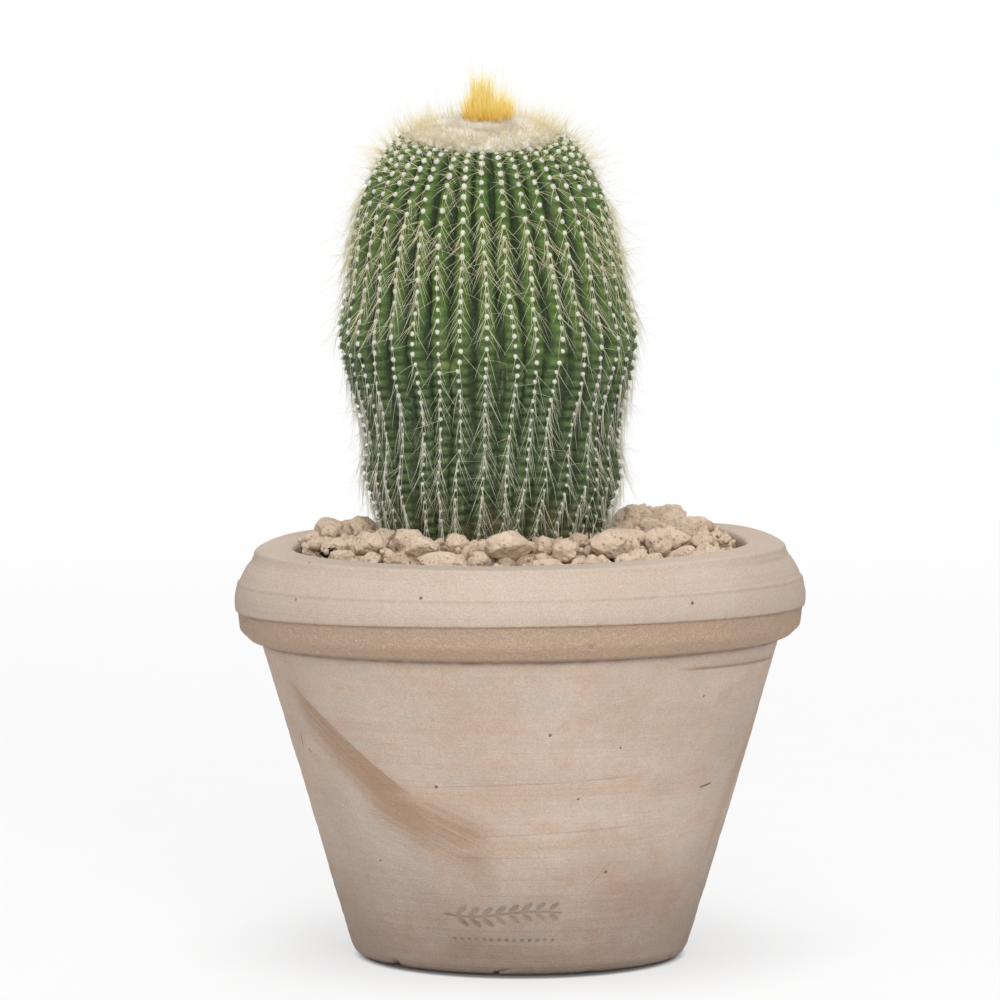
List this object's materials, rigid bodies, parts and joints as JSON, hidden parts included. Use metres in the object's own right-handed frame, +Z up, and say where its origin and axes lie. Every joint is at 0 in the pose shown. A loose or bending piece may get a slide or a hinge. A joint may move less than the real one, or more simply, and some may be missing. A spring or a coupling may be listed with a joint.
{
  "type": "potted columnar ball cactus",
  "caption": "Short columnar ribbed cactus with a woolly crown and golden bristle tuft, in a turned terracotta pot with a rolled rim, top-dressed with pumice gravel.",
  "frame": {"origin": "centre of the pot's base, on the surface that the pot stands on", "axes": "+Z up along the pot's axis; -Y is the front, where the crown tilts; +X is to the right seen from the front"},
  "size_m": [0.2204, 0.2204, 0.3392],
  "materials": {
    "clay": "unglazed grey-beige terracotta with a dry, slightly sandy skin",
    "soil": "dark gritty cactus compost",
    "pumice": "dry pitted tan pumice",
    "skin": "waxy green cactus skin with fine wrinkles and corky scars",
    "wool": "short cream plant wool",
    "spine": "fine translucent cream to golden bristles",
    "husk": "dried dark flower remains"
  },
  "bodies": {
    "root": {"pot": "clay", "potting_soil": "soil", "gravel_bed": "pumice", "cactus_stem": "skin", "crown_wool": "wool", "bristle_tuft": "spine", "dried_flower": "husk", "stone_01": "pumice", "stone_02": "pumice", "stone_03": "pumice", "stone_04": "pumice", "stone_05": "pumice", "stone_06": "pumice", "stone_07": "pumice", "stone_08": "pumice", "stone_09": "pumice", "stone_10": "pumice", "stone_11": "pumice", "stone_12": "pumice", "stone_13": "pumice", "stone_14": "pumice", "stone_15": "pumice", "stone_16": "pumice", "stone_17": "pumice", "stone_18": "pumice", "stone_19": "pumice", "stone_20": "pumice", "stone_21": "pumice", "stone_22": "pumice", "stone_23": "pumice", "stone_24": "pumice", "stone_25": "pumice", "stone_26": "pumice", "stone_27": "pumice", "stone_28": "pumice", "stone_29": "pumice", "stone_30": "pumice", "stone_31": "pumice", "stone_32": "pumice", "stone_33": "pumice", "stone_34": "pumice", "stone_35": "pumice", "stone_36": "pumice", "stone_37": "pumice", "stone_38": "pumice", "stone_39": "pumice", "stone_40": "pumice", "stone_41": "pumice", "stone_42": "pumice", "stone_43": "pumice", "stone_44": "pumice", "stone_45": "pumice", "stone_46": "pumice", "stone_47": "pumice", "stone_48": "pumice", "stone_49": "pumice"}
  },
  "joints": []
}
